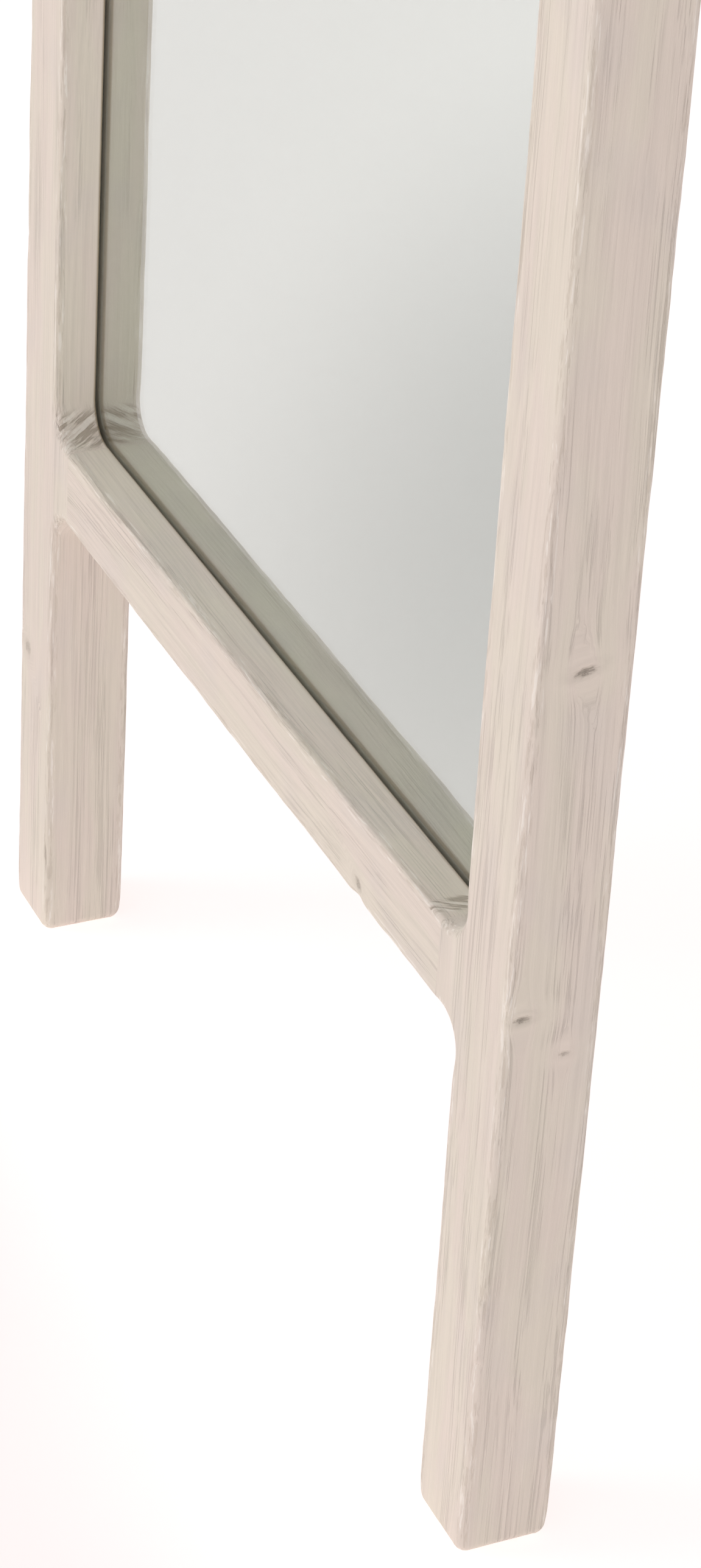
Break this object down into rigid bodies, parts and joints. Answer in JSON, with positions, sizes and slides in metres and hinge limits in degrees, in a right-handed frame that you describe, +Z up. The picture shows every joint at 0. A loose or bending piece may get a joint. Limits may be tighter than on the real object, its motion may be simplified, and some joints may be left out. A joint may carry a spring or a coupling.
{
  "type": "floor mirror",
  "caption": "Tall leaning floor mirror: glass rebated in a thick softwood frame whose posts run down as legs, with swinging D-ring hangers and wall bumpers behind.",
  "frame": {"origin": "on the floor, in the middle of the box that the mirror fills, with its posts upright", "axes": "+Z up along the posts, +X to the right as seen from the front, -Y the way the glass faces"},
  "size_m": [0.757, 0.065, 1.8],
  "materials": {
    "limed_softwood": "brushed, limed, matt",
    "tenon_wood": "planed",
    "silvered_glass": "polished",
    "backing_film": "matt",
    "foam": "soft",
    "plywood": "sanded",
    "rubber": "matt",
    "strip_wood": "planed",
    "zinc_steel": "zinc plated",
    "bumper_felt": "felt"
  },
  "bodies": {
    "mirror": {"left_post": "limed_softwood", "right_post": "limed_softwood", "bottom_rail": "limed_softwood", "top_rail": "limed_softwood", "corner_tenon_bottom_left": "tenon_wood", "corner_tenon_bottom_right": "tenon_wood", "corner_tenon_top_left": "tenon_wood", "corner_tenon_top_right": "tenon_wood", "mirror_glass": "silvered_glass", "backing_film": "backing_film", "cushion_sheet": "foam", "back_panel": "plywood", "setting_blocks": "rubber", "edge_spacers": "rubber", "retaining_strip_left": "strip_wood", "retaining_strip_right": "strip_wood", "retaining_strip_bottom": "strip_wood", "retaining_strip_top": "strip_wood", "strip_screws": "zinc_steel", "left_hanger_plate": "zinc_steel", "right_hanger_plate": "zinc_steel", "hanger_screws": "zinc_steel", "left_wall_bumper": "bumper_felt", "right_wall_bumper": "bumper_felt"},
    "left_ring": {"left_hanger_ring": "zinc_steel"},
    "right_ring": {"right_hanger_ring": "zinc_steel"}
  },
  "joints": [
    {"name": "left_ring_swing", "type": "hinge", "parent": "mirror", "child": "left_ring", "pos_m": [-0.3495, 0.0286, 1.5], "axis": [1, 0, 0], "range_deg": [0, 180]},
    {"name": "right_ring_swing", "type": "hinge", "parent": "mirror", "child": "right_ring", "pos_m": [0.3495, 0.0286, 1.5], "axis": [1, 0, 0], "range_deg": [0, 180]}
  ]
}
